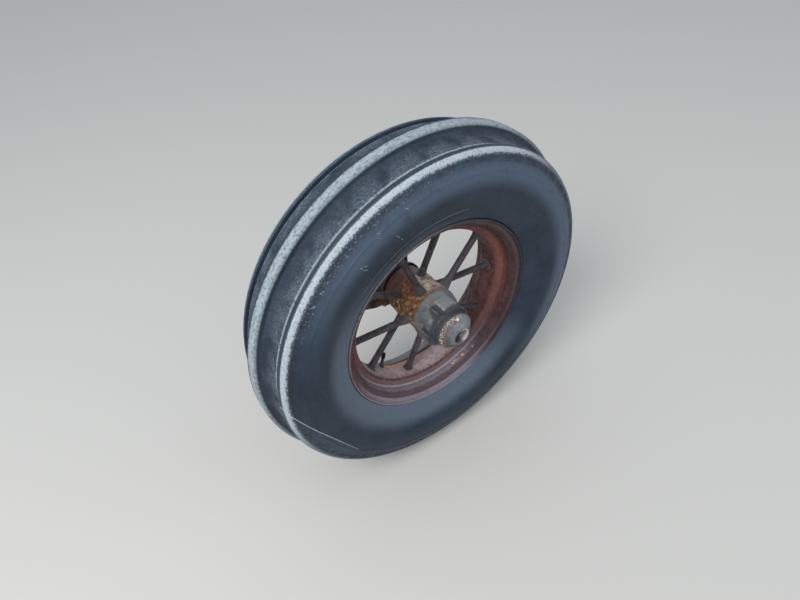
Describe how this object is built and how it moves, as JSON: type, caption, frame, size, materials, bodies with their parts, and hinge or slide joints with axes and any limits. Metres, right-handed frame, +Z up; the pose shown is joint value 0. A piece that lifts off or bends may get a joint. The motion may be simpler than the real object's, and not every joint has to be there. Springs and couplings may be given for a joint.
{
  "type": "tractor front wheel",
  "caption": "Spoked farm tractor front wheel with a ribbed tyre and cast hub, on its steering knuckle with a stub axle, kingpin fork and steering arm.",
  "frame": {"origin": "middle of the kingpin bore, halfway between the fork's ears, at the height of the stub axle", "axes": "+X is the way the tractor drives, +Z is up along the kingpin, and the wheel's outer face looks along -Y"},
  "size_m": [0.87, 0.357, 0.87],
  "materials": {
    "tyre_rubber": "satin, scuffed on the ribs",
    "rim_paint": "worn and rusted",
    "valve_brass": "dull",
    "spoke_paint": "worn and rusted",
    "hub_casting": "chipped paint, rust and grease",
    "seal_rubber": "greasy",
    "cap_metal": "worn and greasy",
    "plug_steel": "worn bright",
    "knuckle_forging": "rusted and greasy",
    "bush_bronze": "worn"
  },
  "bodies": {
    "knuckle": {"knuckle": "knuckle_forging", "fork_ears": "knuckle_forging", "stub_axle": "knuckle_forging", "upper_bush": "bush_bronze", "lower_bush": "bush_bronze", "thrust_washer": "plug_steel", "steering_arm": "knuckle_forging"},
    "wheel": {"tyre": "tyre_rubber", "rim": "rim_paint", "valve_stem": "valve_brass", "outer_spokes": "spoke_paint", "inner_spokes": "spoke_paint", "hub": "hub_casting", "hub_seal": "seal_rubber", "hub_cap": "cap_metal", "cap_plug": "plug_steel"}
  },
  "joints": [
    {"name": "wheel_spin", "type": "hinge", "parent": "knuckle", "child": "wheel", "pos_m": [0, -0.176, 0], "axis": [0, 1, 0], "continuous": true}
  ]
}
